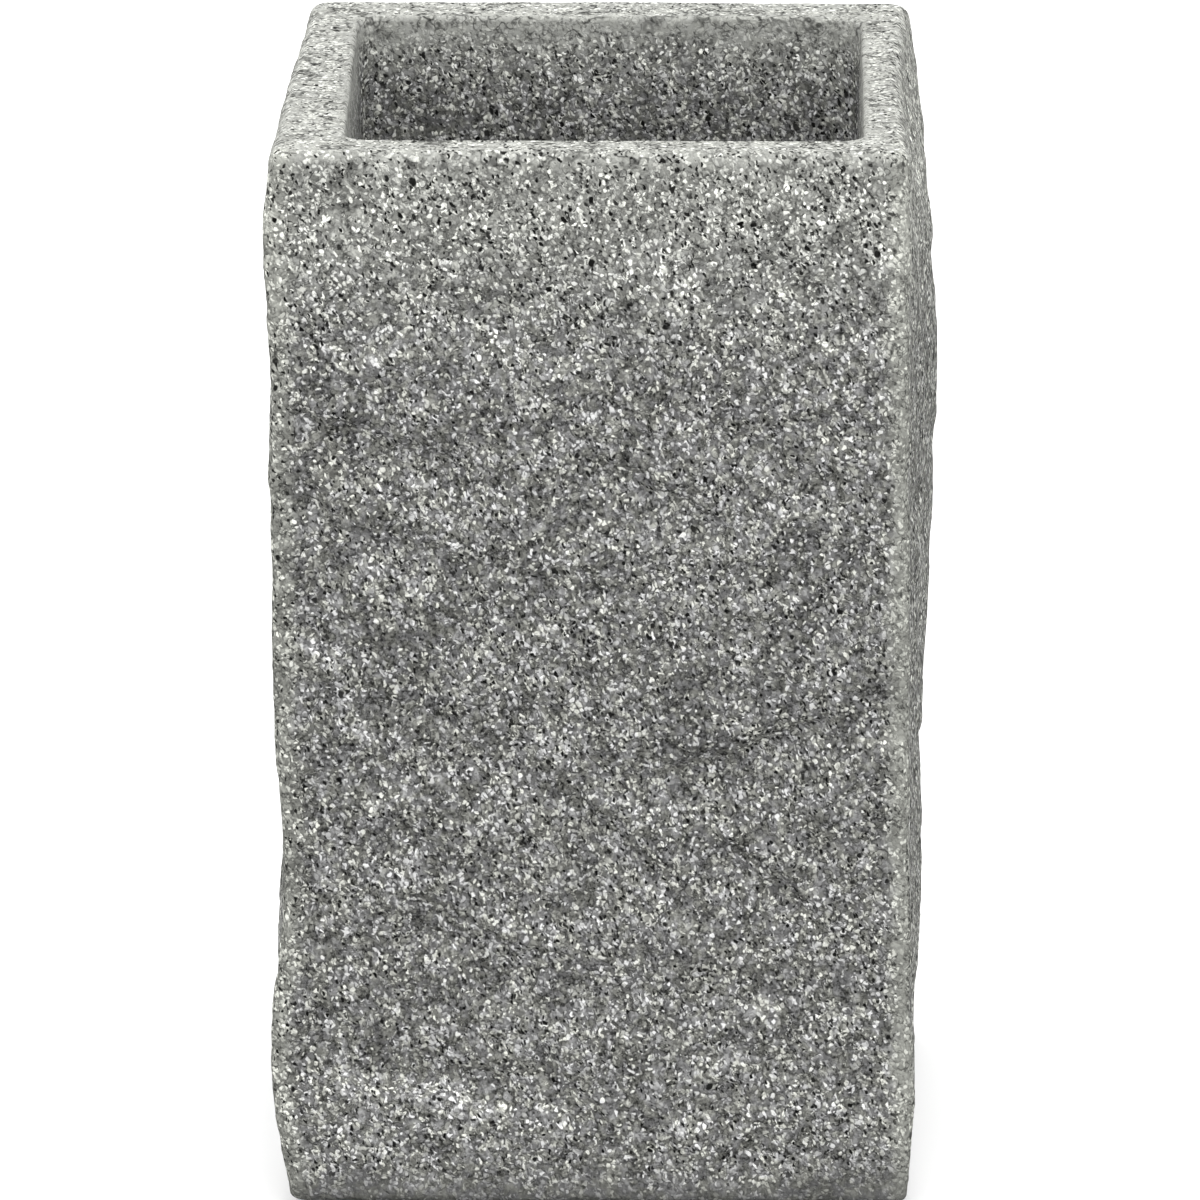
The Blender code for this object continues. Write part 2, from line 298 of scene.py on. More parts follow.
def hewn(places):
    """Points of the square block, moved in by as much as the faces beside them are cut back."""
    half_width = BLOCK_WIDTH / 2
    half_depth = BLOCK_DEPTH / 2
    x_share = places[:, 0] / half_width
    y_share = places[:, 1] / half_depth
    bent = wandered(places)
    x_bent = bent[:, 0] / half_width
    y_bent = bent[:, 1] / half_depth
    up = (bent[:, 2] - UNDERSIDE_HEIGHT) / BLOCK_HEIGHT
    calm = np.clip((RIM_HEIGHT - places[:, 2]) / RIM_CALM_HEIGHT, RIM_RELIEF_SHARE, 1)
    level = RUBBLE_DEPTH / 2
    rubble = level + calm * (lumps(places, RUBBLE_DEPTH, RUBBLE_PITCH) - level)
    corner = np.minimum(np.abs(x_share), np.abs(y_share)) - CORNER_START_SHARE
    scooped = 1 - CORNER_CALM_SHARE * np.clip(corner / (1 - CORNER_START_SHARE), 0, 1)
    fine = calm * (scooped * scoops(places) + layered(places, CHIPS) - RELIEF_LIFT)
    across = rubble + SIDE_RELIEF_SHARE * fine
    along = rubble + fine
    left = across + cut_back(LEFT_SHARES, LEFT_LEDGE_SHARES, y_bent, up, half_depth)
    right = across + cut_back(RIGHT_SHARES, RIGHT_LEDGE_SHARES, y_bent, up, half_depth)
    front = along + cut_back(FRONT_SHARES, FRONT_LEDGE_SHARES, x_bent, up, half_width)
    back = along + cut_back(BACK_SHARES, BACK_LEDGE_SHARES, x_bent, up, half_width)
    moved = places.copy()
    moved[:, 0] += left * (1 - x_share) / 2 - right * (1 + x_share) / 2
    moved[:, 1] += front * (1 - y_share) / 2 - back * (1 + y_share) / 2
    return np.clip(moved, *cad_box)


def section(inset, radius, height):
    """A level cut through the square block: a rounded rectangle, inset from its outline."""
    centre_x = BLOCK_WIDTH / 2 - inset - radius
    centre_y = BLOCK_DEPTH / 2 - inset - radius
    steps = round(BLOCK_WIDTH / POINT_SPACING)
    corners = np.array(((1, 1), (-1, 1), (-1, -1), (1, -1))) * (centre_x, centre_y)
    points = []
    for quarter, centre in enumerate(corners):
        angles = RIGHT_ANGLE * (quarter + np.arange(CORNER_STEPS + 1) / CORNER_STEPS)
        arc = centre + radius * np.stack((np.cos(angles), np.sin(angles)), 1)
        shares = np.arange(1, steps)[:, None] / steps
        run = corners[(quarter + 1) % len(corners)] - centre
        points += [arc, arc[-1] + run * shares]
    flat = np.concatenate(points)
    return np.column_stack((flat, np.full(len(flat), height)))


def rows_between(low, high, spacing):
    return np.linspace(low, high, round(abs(high - low) / spacing) + 1)


def outside_sections():
    """From the edge of the underside, up the wall and over the lip's outer rounding, unhewn."""
    wall_foot = UNDERSIDE_HEIGHT + FOOT_EDGE_RADIUS
    wall_top = RIM_HEIGHT - LIP_OUTER_RADIUS
    angles = RIGHT_ANGLE * np.arange(ARC_STEPS) / ARC_STEPS
    levels = [
        (FOOT_EDGE_RADIUS * (1 - math.sin(a)), wall_foot - FOOT_EDGE_RADIUS * math.cos(a))
        for a in angles
    ]
    levels += [(0, height) for height in rows_between(wall_foot, wall_top, POINT_SPACING)]
    levels += [
        (LIP_OUTER_RADIUS * (1 - math.cos(a)), wall_top + LIP_OUTER_RADIUS * math.sin(a))
        for a in angles[1:]
    ]
    return [section(inset, BLOCK_CORNER_RADIUS, height) for inset, height in levels]


def inside_sections():
    """From the lip's inner rounding down the drafted cavity to the edge of its flat floor."""
    cavity_top = RIM_HEIGHT - LIP_INNER_RADIUS
    wall_foot = CAVITY_FLOOR_HEIGHT + CAVITY_FLOOR_FILLET
    foot_inset = WALL_THICKNESS + (cavity_top - wall_foot) * math.tan(CORE_DRAFT)
    angles = RIGHT_ANGLE * np.arange(1, ARC_STEPS + 1) / ARC_STEPS
    lip, fillet = LIP_INNER_RADIUS, CAVITY_FLOOR_FILLET
    levels = [
        (WALL_THICKNESS - lip * (1 - math.sin(a)), cavity_top + lip * math.cos(a))
        for a in angles
    ]
    heights = rows_between(cavity_top, wall_foot, CAVITY_ROW_SPACING)[1:]
    insets = np.interp(heights, (wall_foot, cavity_top), (foot_inset, WALL_THICKNESS))
    levels += list(zip(insets, heights))
    levels += [
        (foot_inset + fillet * (1 - math.cos(a)), wall_foot - fillet * math.sin(a))
        for a in angles
    ]
    return [
        section(inset, MOUTH_CORNER_RADIUS, height) + (0, -CORE_OFFSET, 0)
        for inset, height in levels
    ]


def rim_sections(outer, inner):
    """The level land between the lip's two roundings, from the outer one in."""
    return [outer + (inner - outer) * step / RIM_STEPS for step in range(RIM_STEPS + 1)]


def sink(ring, depths, top):
    """Lowers a ring of the rim by its ripple, kept under the rim's height."""
    sunk = ring.copy()
    sunk[:, 2] = np.minimum(sunk[:, 2] - depths, top)
    return sunk


def rippled(ring):
    """A ring of the cavity, moved outwards by the ripple of its wall."""
    depths = layered(ring, CAVITY_RIPPLE)
    outwards = ring * (1, 1, 0)
    lengths = np.linalg.norm(outwards, axis=1, keepdims=True)
    return ring + outwards / lengths * depths[:, None]


def casting_rings():
    """The rings of the casting, and for each ring its places on the block before the hewing."""
    unhewn = outside_sections()
    outside = [hewn(ring) for ring in unhewn]
    inside = [rippled(ring) for ring in inside_sections()]
    lip_end = hewn(section(LIP_OUTER_RADIUS, BLOCK_CORNER_RADIUS, RIM_HEIGHT))
    lip_start = section(WALL_THICKNESS - LIP_INNER_RADIUS, MOUTH_CORNER_RADIUS, RIM_HEIGHT)
    lip_start[:, 1] -= CORE_OFFSET
    land = rim_sections(lip_end, lip_start)
    land = [sink(ring, layered(ring, RIM_RIPPLE), RIM_HEIGHT) for ring in land]
    return outside + land + inside, unhewn + land + inside


def foot_nodes():
    return [node for name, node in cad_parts.items() if name.startswith("foot")]


def pocket_circles(foot):
    """The mouth and the end of the pocket above one foot."""
    corners = [foot.matrix_world @ Vector(corner) for corner in foot.bound_box]
    centre = sum(corners, Vector()) / len(corners)
    angles = 4 * RIGHT_ANGLE * np.arange(POCKET_SIDES) / POCKET_SIDES
    round_it = POCKET_RADIUS * np.stack((np.cos(angles), np.sin(angles), 0 * angles), 1)
    return [
        round_it + (centre.x, centre.y, height)
        for height in (UNDERSIDE_HEIGHT, UNDERSIDE_HEIGHT + POCKET_DEPTH)
    ]


def underside_faces(edge, circles, first):
    """The underside between its edge and the pockets' mouths, and the pockets' walls and ends."""
    starts = [first + number * POCKET_SIDES for number in range(len(circles))]
    loops = [[Vector(place) for place in loop] for loop in (edge, *circles[::2])]
    corners = list(range(len(edge)))
    for start in starts[::2]:
        corners += range(start, start + POCKET_SIDES)
    faces = [[corners[index] for index in triangle] for triangle in tessellate_polygon(loops)]
    for mouth, end in zip(starts[::2], starts[1::2]):
        for side in range(POCKET_SIDES):
            after = (side + 1) % POCKET_SIDES
            faces.append((mouth + side, mouth + after, end + after, end + side))
        faces.append(range(end, end + POCKET_SIDES))
    return faces


def cast_body():
    """The casting: its rings joined by quads and closed by the underside and the cavity floor."""
    rings, unhewn = casting_rings()
    count = len(rings[0])
    here = np.arange(count)
    there = (here + 1) % count
    faces = []
    for row in range(len(rings) - 1):
        low, high = row * count, (row + 1) * count
        faces += np.stack((low + here, low + there, high + there, high + here), 1).tolist()
    faces.append(range((len(rings) - 1) * count, len(rings) * count))
    circles = [circle for foot in foot_nodes() for circle in pocket_circles(foot)]
    faces += underside_faces(rings[0], circles, len(rings) * count)
    mesh = bpy.data.meshes.new("body_stone")
    mesh.from_pydata(np.concatenate(rings + circles).tolist(), [], faces)
    shares = np.concatenate(unhewn + circles) / (BLOCK_WIDTH / 2, BLOCK_DEPTH / 2, RIM_HEIGHT)
    block_place = mesh.attributes.new(BLOCK_SHARES, "FLOAT_VECTOR", "POINT")
    block_place.data.foreach_set("vector", shares.ravel())
    shape = bmesh.new()
    shape.from_mesh(mesh)
    bmesh.ops.recalc_face_normals(shape, faces=shape.faces)
    shape.to_mesh(mesh)
    shape.free()
    mesh.shade_smooth()
    mesh.set_sharp_from_angle(angle=SHARP_ANGLE)
    made = bpy.data.objects.new("body_stone", mesh)
    bpy.context.scene.collection.objects.link(made)
    return made


# The middle of what a noise gives, and the angles between one way for grains to lie and the next
NOISE_MIDDLE = 0.5
WAYS_APART = (1.7, 2.9, 0.8)


class Pattern:
    """A material's nodes, with one short call for each kind that the materials here use."""

    def __init__(self, name):
        self.material = bpy.data.materials.new(name)
        self.material.use_nodes = True
        self.tree = self.material.node_tree
        self.shader = self.tree.nodes["Principled BSDF"]
        self.place = self.add("ShaderNodeTexCoord").outputs["Object"]

    def add(self, kind, inputs=None, **settings):
        node = self.tree.nodes.new(kind)
        for name, value in settings.items():
            setattr(node, name, value)
        for socket, value in (inputs or {}).items():
            self.feed(node.inputs[socket], value)
        return node

    def feed(self, socket, value):
        if isinstance(value, bpy.types.NodeSocket):
            self.tree.links.new(value, socket)
        else:
            socket.default_value = value

    def math(self, operation, a, b=0.0, c=0.0):
        return self.add("ShaderNodeMath", {0: a, 1: b, 2: c}, operation=operation).outputs[0]

    def remap(self, value, low, high, to_low=0.0, to_high=1.0):
        """A value between low and high taken smoothly to between two others."""
        inputs = {"Value": value, 1: low, 2: high, 3: to_low, 4: to_high}
        return self.add("ShaderNodeMapRange", inputs, interpolation_type="SMOOTHSTEP").outputs[0]

    def mix(self, factor, a, b):
        inputs = {0: factor, 2: a, 3: b}
        return self.add("ShaderNodeMix", inputs, data_type="FLOAT").outputs[0]

    def mix_colour(self, factor, a, b):
        inputs = {0: factor, 6: a, 7: b}
        return self.add("ShaderNodeMix", inputs, data_type="RGBA").outputs[2]

    def scaled(self, value, factor, change):
        """A value that grows or shrinks by a share of itself where the factor is one."""
        return self.math("MULTIPLY", value, self.math("MULTIPLY_ADD", factor, change, 1.0))

    def noise(self, pitch, detail, roughness=0.5):
        inputs = {"Vector": self.place, "Scale": 1 / pitch, "Detail": detail, "Roughness": roughness}
        return self.add("ShaderNodeTexNoise", inputs).outputs["Fac"]

    def pushed(self, place, pitch, reach):
        """Coordinates pushed to and fro, so that what is drawn on them is irregular."""
        inputs = {"Vector": place, "Scale": 1 / pitch, "Detail": 1.0}
        push = self.add("ShaderNodeTexNoise", inputs).outputs["Color"]
        inputs = {0: push, 1: [NOISE_MIDDLE] * 3}
        centred = self.add("ShaderNodeVectorMath", inputs, operation="SUBTRACT").outputs[0]
        inputs = {0: centred, 1: [reach] * 3, 2: place}
        return self.add("ShaderNodeVectorMath", inputs, operation="MULTIPLY_ADD").outputs[0]

    def cells(self, place, size, way):
        """Grains of a size, laid in one of several ways: how far each place is from the middle
        of its grain, and three numbers between nothing and one that differ from grain to grain.
        """
        turn = [angle * way for angle in WAYS_APART]
        inputs = {"Vector": place, "Rotation": turn, "Scale": size}
        counted = self.add("ShaderNodeMapping", inputs, vector_type="TEXTURE").outputs[0]
        node = self.add("ShaderNodeTexVoronoi", {"Vector": counted, "Scale": 1.0})
        split = self.add("ShaderNodeSeparateColor", {0: node.outputs["Color"]})
        return node.outputs["Distance"], *split.outputs


# How the borders of the places below waver: the pitch, and how far to either side
WAVER_PITCH = 0.0060
WAVER_REACH = 0.0020

# The places where the casting's surface differs: the values between which it comes to do so,
# as heights, distances from the middle or shares of the block, and how strongly these waver
NEAR_RIM = (RIM_HEIGHT - 0.0260, RIM_HEIGHT - 0.0045, 1.0)
LIP = (RIM_HEIGHT - 0.0032, RIM_HEIGHT - 0.0010, 0.5)
COLLAR = (RIM_HEIGHT - 0.0045, RIM_HEIGHT - 0.0015, 1.0)
DEEP = (RIM_HEIGHT - 0.0005, RIM_HEIGHT - 0.0105, 1.0)
NEAR_FOOT = (0.0180, 0.0110, 2.0)
ABOVE_SOLE = (0.0040, 0.0070, 0.0)
SOLE = (0.0058, 0.0024, 1.0)
CAVITY = (0.0275, 0.0262, 0.0)
CAVITY_SIDE = (0.700, 0.735, 0.0)
SIDE_FACE = (0.985, 0.998, 0.0)
FRONT_FACE = (-0.97, -0.99, 0.0)
OUTER_EDGE = (0.905, 0.970, 20.0)
RIGHT_EDGE = (0.915, 0.975, 14.0)

# The resin: how its coordinates are pushed, by pitch and reach, its clouds and fine mottling,
# the tone that they are added to, and by what share painted shade darkens it deep in the cavity
BROAD_PUSH = (0.0010, 0.00055)
FINE_PUSH = (0.00042, 0.00036)
CLOUD_PITCH = 0.0040
CLOUD_LEVELS = (0.36, 0.64, -1.0, 1.0)
CLOUD_TONE = 0.032
MOTTLE_PITCH = 0.00042
MOTTLE_LEVELS = (0.32, 0.68)
MOTTLE_TONE = 0.20
MOTTLE_HEIGHT = 0.35
RESIN_TONE = 0.060
RESIN_DEEP_SHADE = -0.43

# Every scatter of grains: how softly the share of cells that hold one begins, and the least
# radius of a grain and what may be added to it, as shares of a cell
CHANCE_RUN = 0.03
GRAIN_RADIUS = 0.38
GRAIN_RADIUS_SPREAD = 0.32

# Grains that show dimly from under the surface of the resin: their size along three
# directions, the ways in which they lie, which cells hold one, their outline and their tone
SUNK_GRAIN = (0.0016, 0.0013, 0.0014)
SUNK_WAYS = range(3, 5)
SUNK_CHANCE = (0.60, 0.64)
SUNK_OUTLINE = (0.66, 0.20)
SUNK_TONE = 0.13

# Each kind of pale sand grain: its size along three directions, the ways in which its grains
# lie, the share of its cells that hold one, how its tones lean towards the darkest, and how far
# it stands proud
PALE_SAND = (
    ((0.00092, 0.00034, 0.00044), range(1, 6), 0.33, 1.8, 0.30),
    ((0.00056, 0.00046, 0.00056), range(2, 4), 0.32, 1.6, 0.35),
)
PALE_TONES = (0.13, 1.0)
PALE_CLUSTERS = 0.17
PALE_OUTLINE = (1.05, 0.55)
PALE_SEAM = (1.5, 1.0)
PALE_SEAM_CHANGE = -0.20

# Each kind of black grain: its size, the ways in which its grains lie, the share of its cells
# that hold one, and how much is added to that share at the rim, in the cavity and on the sides
BLACK_SAND = (
    ((0.00060, 0.00030, 0.00036), range(3, 6), 0.075, 0.02),
    ((0.00074, 0.00056, 0.00064), range(4, 5), 0.016, 0.045),
)
BLACK_TONES = (0.004, 0.04)
BLACK_CLUSTERS = 0.03
BLACK_OUTLINE = (1.05, 0.60)
BLACK_HEIGHT = -0.30

# The places where black grains are fainter, and by what share
BLACK_CHANGES = (("right_edge", -0.4), ("sole", -0.6), ("collar", -0.5))

# Each kind of crevice: its pitch, its width, how dark its painted shade is, and how dark on the lip,
# where that painted shade stands in for the shading of the rim's ripples. It breaks off here and
# there, on a pitch that is a multiple of its own, and is fainter at the sole.
CREVICES = (
    (0.0026, 0.050, 0.00, 0.60),
    (0.0018, 0.045, 0.00, 0.60),
    (0.0012, 0.034, 0.58, 0.45),
    (0.00085, 0.034, 0.45, 0.25),
)
CREVICE_CORE = 0.008
CREVICE_BREAK_PITCH = 1.4
CREVICE_BREAKS = (0.46, 0.60)
CREVICE_HEIGHT = -0.6
CREVICE_SOLE_CHANGE = -0.6

# What the tone of resin and pale sand is multiplied by all over
TONE_GAIN = 1.10

# How the tone then differs over the casting: the place, the share of itself by which it grows
# or shrinks there, the share of it that gives way to a plain tone after that, and that tone.
# Much of this is painted light and shade, as marked at each place.
TONE_CHANGES = (
    # Painted shade: darker deep in the cavity, where less light reaches
    ("deep", -0.30, 0.0, 0.0),
    # Painted shade: darker on the cavity's left and right walls
    ("cavity_side_shade", -0.18, 0.0, 0.0),
    # Painted light: lighter low on the faces, standing in for light bounced up off the floor
    ("foot_bounce_light", 0.16, 0.0, 0.0),
    # Partly a paler skin towards the rim, partly painted light that the upper faces and the top of
    # the cavity catch from above
    ("near_rim", 0.38, 0.15, 0.43),
    # Partly a worn, paler band along the upright edges, partly a painted highlight where they catch
    # the side light
    ("edge", 0.19, 0.20, 0.46),
    # The same at the right face's front edge, more so: partly worn, partly a painted highlight
    ("right_edge", 0.0, 0.32, 0.48),
    # Painted shade: the side faces darker, as they turn away from the light
    ("side_face", -0.10, 0.0, 0.0),
    ("collar", 0.0, 0.60, 0.38),
    # Partly the lip's own paler, calmer skin, partly painted sheen from the bright backdrop glancing
    # off it
    ("lip", 0.0, 0.50, 0.38),
    # Partly a calmer skin with fewer grains, partly painted shade where the base turns down to the
    # floor
    ("sole", 0.0, 0.64, 0.155),
)

# The tints: two that alternate, and how far the rim, the outer edges and the side faces have
# their own
TINT_PITCH = 0.0012
TINT_LEVELS = (0.35, 0.65)
COOL_TINT = (1.0, 1.001, 1.0, 1)
WARM_TINT = (1.0, 1.006, 0.92, 1)
RIM_TINT = (1.0, 1.012, 0.940, 1)
RIM_TINT_SHARE = 0.85
EDGE_TINT = (1.0, 1.012, 0.925, 1)
SIDE_TINT_SHARE = 0.5

# The casting's finish: two heights in its relief and the roughness at each, its gloss, and the
# depth and strength of its bump
STONE_ROUGHNESS = (0.0, 0.8, 0.75, 0.50)
STONE_SPECULAR = 0.02
STONE_BUMP = 0.00010
STONE_BUMP_STRENGTH = 0.9

# The rubber of the feet: the pitch of its clouds, its colour and roughness by how cloudy it is,
# and the pitch and depth of its dust
RUBBER_PITCH = 0.0016
RUBBER_COLOURS = ((0.26, 0.27, 0.27, 1), (0.34, 0.35, 0.35, 1))
RUBBER_ROUGHNESS = (0.2, 0.8, 0.38, 0.56)
RUBBER_DUST_PITCH = 0.0003
RUBBER_BUMP = 0.00004


def find_places(p):
    """How far each special place of the casting's surface is reached, from nothing to one."""
    right, ahead, height = p.add("ShaderNodeSeparateXYZ", {0: p.place}).outputs
    block = p.add("ShaderNodeAttribute", attribute_name=BLOCK_SHARES).outputs["Vector"]
    across, along, _ = p.add("ShaderNodeSeparateXYZ", {0: block}).outputs
    off_middle = p.math("ABSOLUTE", across)
    nearest = p.math("MINIMUM", off_middle, p.math("ABSOLUTE", along))
    farthest = p.math("MAXIMUM", p.math("ABSOLUTE", right), p.math("ABSOLUTE", ahead))
    waver = p.noise(WAVER_PITCH, detail=3.0)
    waver = p.math("MULTIPLY_ADD", waver, 2 * WAVER_REACH, -WAVER_REACH)

    def reached(value, start, end, wavers):
        return p.remap(p.math("MULTIPLY_ADD", waver, wavers, value), start, end)

    def both(a, b):
        return p.math("MULTIPLY", a, b)

    inside = reached(farthest, *CAVITY)
    return {
        "near_rim": reached(height, *NEAR_RIM),
        "lip": reached(height, *LIP),
        "collar": both(inside, reached(height, *COLLAR)),
        "deep": both(inside, reached(height, *DEEP)),
        "cavity_side_shade": both(inside, reached(off_middle, *CAVITY_SIDE)),
        # Where painted bounce light lightens the faces above the sole
        "foot_bounce_light": both(reached(height, *NEAR_FOOT), reached(height, *ABOVE_SOLE)),
        "sole": reached(height, *SOLE),
        "side_face": reached(off_middle, *SIDE_FACE),
        "edge": reached(nearest, *OUTER_EDGE),
        "right_edge": both(reached(across, *RIGHT_EDGE), reached(along, *FRONT_FACE)),
    }


def resin(p, spot, cloud, mottle):
    """The tone of the cloudy resin, with grains that show dimly through it."""
    tone = p.math("MULTIPLY_ADD", p.remap(mottle, *MOTTLE_LEVELS), MOTTLE_TONE, RESIN_TONE)
    tone = p.math("MULTIPLY_ADD", cloud, CLOUD_TONE, tone)
    for way in SUNK_WAYS:
        distance, chance, _, _ = p.cells(spot, SUNK_GRAIN, way)
        mask = p.remap(distance, *SUNK_OUTLINE)
        mask = p.math("MULTIPLY", p.remap(chance, *SUNK_CHANCE), mask)
        tone = p.math("MULTIPLY_ADD", mask, SUNK_TONE, tone)
    return tone


def sand(p, spot, size, way, share, favour):
    """One scatter of grains: where there is a grain, how far each place is from its middle as a
    share of its radius, and a number between nothing and one for its shade. Favour adds to the
    share of cells that hold one.
    """
    distance, chance, shade, spread = p.cells(spot, size, way)
    chosen = p.remap(p.math("ADD", favour, chance), 1 - share, 1 - share + CHANCE_RUN)
    radius = p.math("MULTIPLY_ADD", spread, GRAIN_RADIUS_SPREAD, GRAIN_RADIUS)
    return chosen, p.math("DIVIDE", distance, radius), shade


def add_pale_sand(p, spot, cloud, tone, raised):
    """The tone and the relief with the pale sand in them, each grain in a darker seam."""
    darkest, palest = PALE_TONES
    favour = p.math("MULTIPLY", cloud, PALE_CLUSTERS)
    for size, ways, share, lean, proud in PALE_SAND:
        for way in ways:
            chosen, within, shade = sand(p, spot, size, way, share, favour)
            mask = p.math("MULTIPLY", chosen, p.remap(within, *PALE_OUTLINE))
            seam = p.math("MULTIPLY", chosen, p.remap(within, *PALE_SEAM))
            tone = p.scaled(tone, seam, PALE_SEAM_CHANGE)
            shade = p.math("POWER", shade, lean)
            grain = p.math("MULTIPLY_ADD", shade, palest - darkest, darkest)
            tone = p.mix(mask, tone, grain)
            raised = p.math("MULTIPLY_ADD", mask, proud, raised)
    return tone, raised


def add_black_sand(p, places, spot, cloud, tone, raised):
    """The tone and the relief with the black grains in them, fewer on the front and back."""
    darkest, palest = BLACK_TONES
    skin = p.math("MAXIMUM", places["near_rim"], places["lip"])
    skin = p.math("MAXIMUM", skin, p.math("MAXIMUM", places["deep"], places["side_face"]))
    clusters = p.math("MULTIPLY", cloud, BLACK_CLUSTERS)
    for size, ways, share, more in BLACK_SAND:
        favour = p.math("MULTIPLY_ADD", skin, more, clusters)
        for way in ways:
            chosen, within, shade = sand(p, spot, size, way, share, favour)
            mask = p.math("MULTIPLY", chosen, p.remap(within, *BLACK_OUTLINE))
            for name, change in BLACK_CHANGES:
                mask = p.scaled(mask, places[name], change)
            grain = p.math("MULTIPLY_ADD", shade, palest - darkest, darkest)
            tone = p.mix(mask, tone, grain)
            raised = p.math("MULTIPLY_ADD", mask, BLACK_HEIGHT, raised)
    return tone, raised


def add_crevices(p, places, tone, raised):
    """The tone and the relief with short crevices in them, their tone darkened by painted shade."""
    for pitch, width, strength, lip_strength in CREVICES:
        level = p.noise(pitch, detail=1.5, roughness=0.6)
        level = p.math("ABSOLUTE", p.math("SUBTRACT", level, NOISE_MIDDLE))
        breaks = p.remap(p.noise(pitch * CREVICE_BREAK_PITCH, detail=1.0), *CREVICE_BREAKS)
        crevice = p.math("MULTIPLY", p.remap(level, width, CREVICE_CORE), breaks)
        strength = p.mix(places["lip"], strength, lip_strength)
        crevice = p.math("MULTIPLY", crevice, strength)
        crevice = p.scaled(crevice, places["sole"], CREVICE_SOLE_CHANGE)
        # Painted shade: the tone darker along each crevice
        tone = p.math("MULTIPLY", tone, p.math("SUBTRACT", 1.0, crevice))
        raised = p.math("MULTIPLY_ADD", crevice, CREVICE_HEIGHT, raised)
    return tone, raised


def find_tint(p, places):
    """The slight tint: cool and warm by turns, and warmer at the rim and the outer edges."""
    warm = p.remap(p.noise(TINT_PITCH, detail=2.0), *TINT_LEVELS)
    tint = p.mix_colour(warm, COOL_TINT, WARM_TINT)
    rim = p.math("MULTIPLY", places["near_rim"], p.math("SUBTRACT", 1.0, places["deep"]))
    rim = p.math("MULTIPLY", p.math("MAXIMUM", rim, places["lip"]), RIM_TINT_SHARE)
    tint = p.mix_colour(rim, tint, RIM_TINT)
    side = p.math("MULTIPLY", places["side_face"], SIDE_TINT_SHARE)
    return p.mix_colour(p.math("MAXIMUM", places["edge"], side), tint, EDGE_TINT)


def stone():
    """Grey resin full of quartz sand: pale and black grains in a cloudy matrix, with painted light
    and shade in places.
    """
    p = Pattern("cast_stone")
    places = find_places(p)
    spot = p.pushed(p.pushed(p.place, *BROAD_PUSH), *FINE_PUSH)
    cloud = p.remap(p.noise(CLOUD_PITCH, detail=3.0, roughness=0.6), *CLOUD_LEVELS)
    mottle = p.noise(MOTTLE_PITCH, detail=2.0, roughness=0.6)
    # Painted shade: the resin darker deep in the cavity, where less light reaches
    tone = p.scaled(resin(p, spot, cloud, mottle), places["deep"], RESIN_DEEP_SHADE)
    raised = p.math("MULTIPLY", mottle, MOTTLE_HEIGHT)
    tone, raised = add_pale_sand(p, spot, cloud, tone, raised)
    tone = p.math("MULTIPLY", tone, TONE_GAIN)
    for name, change, share, plain in TONE_CHANGES:
        tone = p.scaled(tone, places[name], change)
        tone = p.mix(p.math("MULTIPLY", places[name], share), tone, plain)
    tone, raised = add_black_sand(p, places, spot, cloud, tone, raised)
    tone, raised = add_crevices(p, places, tone, raised)
    inputs = {0: find_tint(p, places), 3: tone}
    colour = p.add("ShaderNodeVectorMath", inputs, operation="SCALE").outputs[0]
    p.feed(p.shader.inputs["Base Color"], colour)
    p.feed(p.shader.inputs["Roughness"], p.remap(raised, *STONE_ROUGHNESS))
    p.shader.inputs["Specular IOR Level"].default_value = STONE_SPECULAR
    inputs = {"Height": raised, "Distance": STONE_BUMP, "Strength": STONE_BUMP_STRENGTH}
    p.feed(p.shader.inputs["Normal"], p.add("ShaderNodeBump", inputs).outputs[0])
    return p.material


def rubber():
    """Grey polyurethane: a smooth, slightly cloudy skin with fine dust in it."""
    p = Pattern("foot_rubber")
    cloud = p.noise(RUBBER_PITCH, detail=3.0, roughness=0.6)
    p.feed(p.shader.inputs["Base Color"], p.mix_colour(cloud, *RUBBER_COLOURS))
    p.feed(p.shader.inputs["Roughness"], p.remap(cloud, *RUBBER_ROUGHNESS))
    inputs = {"Height": p.noise(RUBBER_DUST_PITCH, detail=3.0), "Distance": RUBBER_BUMP}
    p.feed(p.shader.inputs["Normal"], p.add("ShaderNodeBump", inputs).outputs[0])
    return p.material


def mixed_by_camera(tree, shown, lit, out):
    """Sends one shader to what is seen directly, in gloss or through glass, and one to the rest."""
    path = tree.nodes.new("ShaderNodeLightPath")
    total = path.outputs["Is Camera Ray"]
    for name in ("Is Glossy Ray", "Is Transmission Ray"):
        joined = tree.nodes.new("ShaderNodeMath")
        joined.operation = "MAXIMUM"
        tree.links.new(total, joined.inputs[0])
        tree.links.new(path.outputs[name], joined.inputs[1])
        total = joined.outputs[0]
    mixed = tree.nodes.new("ShaderNodeMixShader")
    tree.links.new(total, mixed.inputs[0])
    tree.links.new(lit, mixed.inputs[1])
    tree.links.new(shown, mixed.inputs[2])
    tree.links.new(mixed.outputs[0], out)


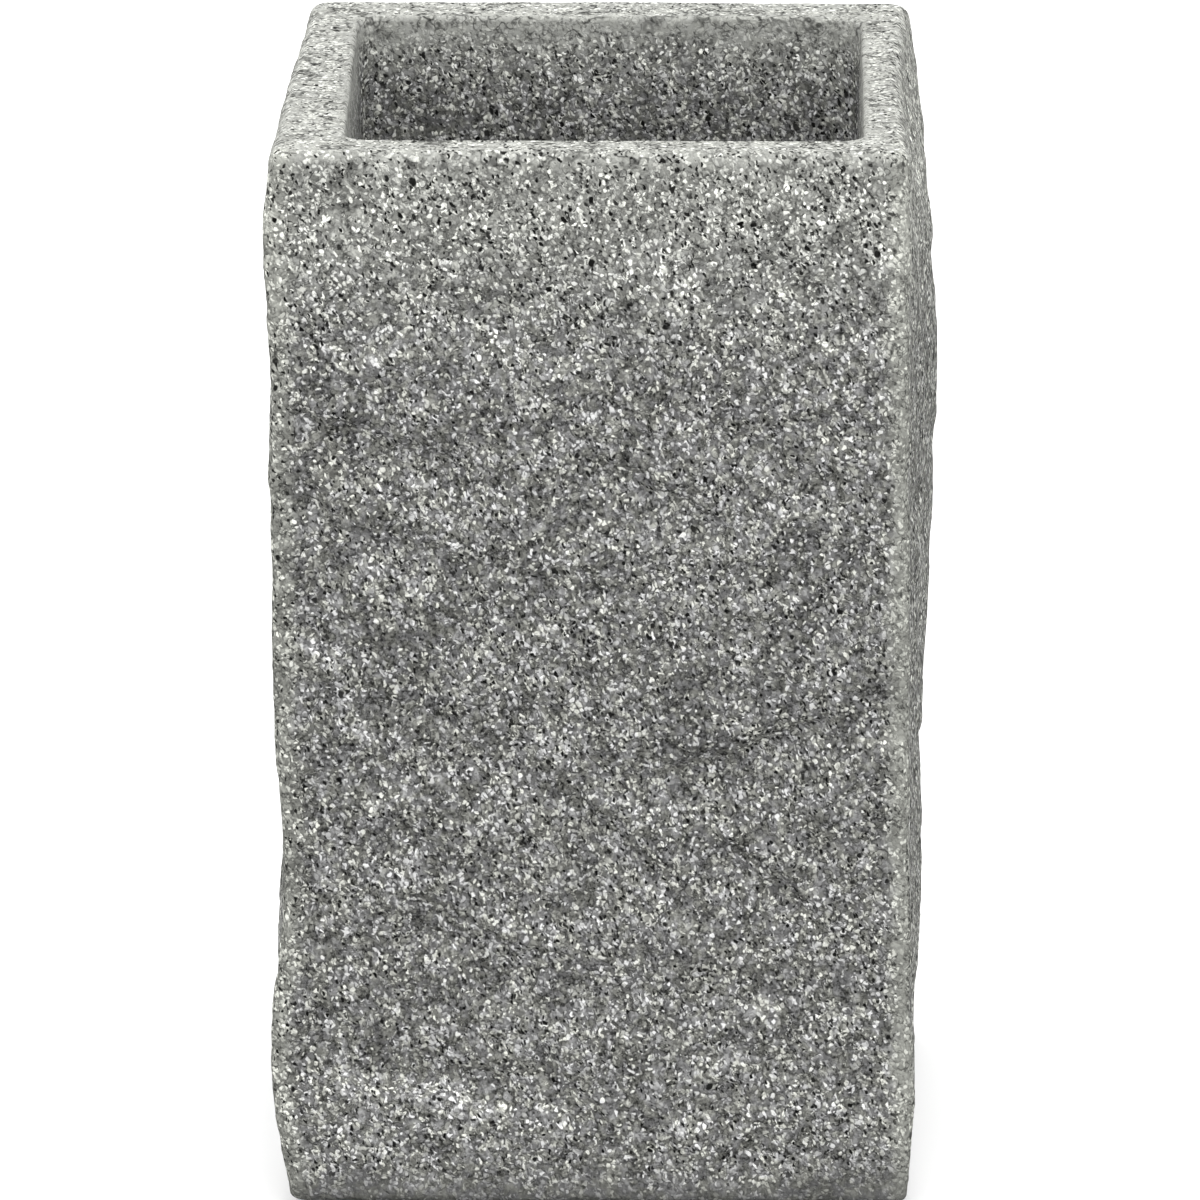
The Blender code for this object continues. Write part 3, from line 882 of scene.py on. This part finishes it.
def add_floor():
    """A plain pale floor, lighter to the eye than to the light that bounces off it."""
    bpy.ops.mesh.primitive_plane_add(size=FLOOR_WIDTH)
    floor = bpy.context.object
    floor.name = "floor"
    floor.location.z = -FLOOR_GAP
    material = bpy.data.materials.new("floor")
    material.use_nodes = True
    tree = material.node_tree
    lit = tree.nodes["Principled BSDF"]
    shown = tree.nodes.new("ShaderNodeBsdfDiffuse")
    lit.inputs["Base Color"].default_value = (FLOOR_SHADE, FLOOR_SHADE, FLOOR_SHADE, 1)
    lit.inputs["Roughness"].default_value = 1
    lit.inputs["Specular IOR Level"].default_value = 0
    shown.inputs["Color"].default_value = (FLOOR_SHADE_SEEN, FLOOR_SHADE_SEEN, FLOOR_SHADE_SEEN, 1)
    surface = tree.nodes["Material Output"].inputs["Surface"]
    mixed_by_camera(tree, shown.outputs[0], lit.outputs[0], surface)
    floor.data.materials.append(material)


def add_sky():
    """A white backdrop all round, which lights the part more softly than it looks."""
    world = bpy.data.worlds.new("studio")
    bpy.context.scene.world = world
    world.use_nodes = True
    tree = world.node_tree
    lit = tree.nodes["Background"]
    shown = tree.nodes.new("ShaderNodeBackground")
    lit.inputs["Color"].default_value = (SKY_LIGHT, SKY_LIGHT, SKY_LIGHT, 1)
    shown.inputs["Color"].default_value = (1, 1, 1, 1)
    surface = tree.nodes["World Output"].inputs["Surface"]
    mixed_by_camera(tree, shown.outputs[0], lit.outputs[0], surface)


def add_top_light():
    """One broad soft light overhead, a little to the front."""
    lamp = bpy.data.lights.new("top_light", "SUN")
    lamp.energy = TOP_LIGHT * math.pi
    lamp.angle = TOP_LIGHT_SPREAD
    light = bpy.data.objects.new("top_light", lamp)
    light.rotation_euler.x = TOP_LIGHT_TILT
    bpy.context.scene.collection.objects.link(light)


def add_camera():
    data = bpy.data.cameras.new("camera")
    data.sensor_width = CAMERA_SENSOR
    data.lens = CAMERA_LENS
    camera = bpy.data.objects.new("camera", data)
    back = Vector((
        math.sin(CAMERA_YAW) * math.cos(CAMERA_PITCH),
        -math.cos(CAMERA_YAW) * math.cos(CAMERA_PITCH),
        math.sin(CAMERA_PITCH),
    ))
    camera.location = CAMERA_AIM + back * CAMERA_DISTANCE
    camera.rotation_euler = (-back).to_track_quat("-Z", "Y").to_euler()
    bpy.context.scene.collection.objects.link(camera)
    bpy.context.scene.camera = camera


# Without a seed the noise vectors start from the clock
noise.seed_set(WANDER_SEED)
body = cast_body()
body.data.materials.append(stone())
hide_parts("body")
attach(body, "root")
foot_material = rubber()
for foot in foot_nodes():
    foot.data.materials.clear()
    foot.data.materials.append(foot_material)

add_floor()
add_sky()
add_top_light()
add_camera()
bpy.context.scene.view_settings.view_transform = "Standard"
